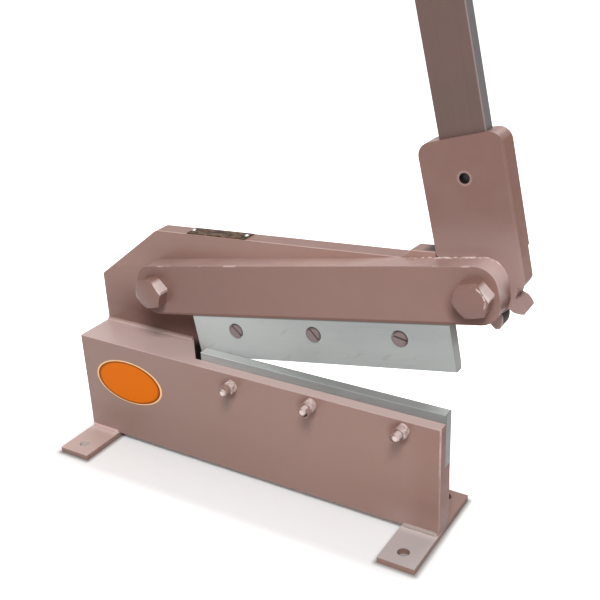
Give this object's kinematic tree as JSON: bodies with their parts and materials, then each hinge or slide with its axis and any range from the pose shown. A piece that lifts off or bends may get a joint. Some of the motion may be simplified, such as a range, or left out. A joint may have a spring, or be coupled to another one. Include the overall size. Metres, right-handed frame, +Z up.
{
  "type": "hand lever shear",
  "caption": "Bench hand shear with a lever pinion rolling on a toothed sector, swinging an upper blade past a fixed lower blade to cut sheet and flat bar.",
  "frame": {"origin": "on the floor, midway between the four holes of the feet", "axes": "+X along the blades from the pivot towards the lever, +Y from the front with the nuts to the back, +Z up"},
  "size_m": [0.4516, 0.1478, 0.8132],
  "materials": {
    "paint": "semi-gloss, brushed on over plate and casting",
    "blade_steel": "ground",
    "bar_steel": "drawn, lightly oxidised",
    "bright_steel": "turned",
    "plate_brass": "dull, darkened"
  },
  "bodies": {
    "frame": {"bed_plate": "paint", "spacer_block": "paint", "frame_plate": "paint", "left_foot": "paint", "right_foot": "paint", "foot_welds": "paint", "plate_weld": "paint", "lower_blade": "blade_steel", "lower_blade_screws": "paint", "lower_blade_washers": "paint", "lower_blade_nuts": "paint", "name_plate": "plate_brass", "name_plate_rivets": "bright_steel"},
    "jaw": {"jaw": "paint", "upper_blade": "blade_steel", "upper_blade_screws": "paint", "rear_link": "paint", "pivot_bolt": "paint", "pivot_sleeve": "bright_steel", "pivot_washer": "bright_steel", "pivot_nut": "paint", "pinion_bolt": "paint", "pinion_sleeve": "bright_steel", "pinion_washer": "bright_steel", "pinion_nut": "paint"},
    "lever": {"lever_socket": "paint", "lever_bar": "bar_steel"}
  },
  "joints": [
    {"name": "jaw_hinge", "type": "hinge", "parent": "frame", "child": "jaw", "pos_m": [-0.112, 0.04225, 0.172], "axis": [0, 1, 0], "range_deg": [0, 7.2]},
    {"name": "lever_hinge", "type": "hinge", "parent": "jaw", "child": "lever", "pos_m": [0.21693, 0.04225, 0.23], "axis": [0, 1, 0], "range_deg": [0, 72]}
  ],
  "couplings": [
    {"joint": "lever_hinge", "follows": "jaw_hinge", "ratio": 10}
  ]
}
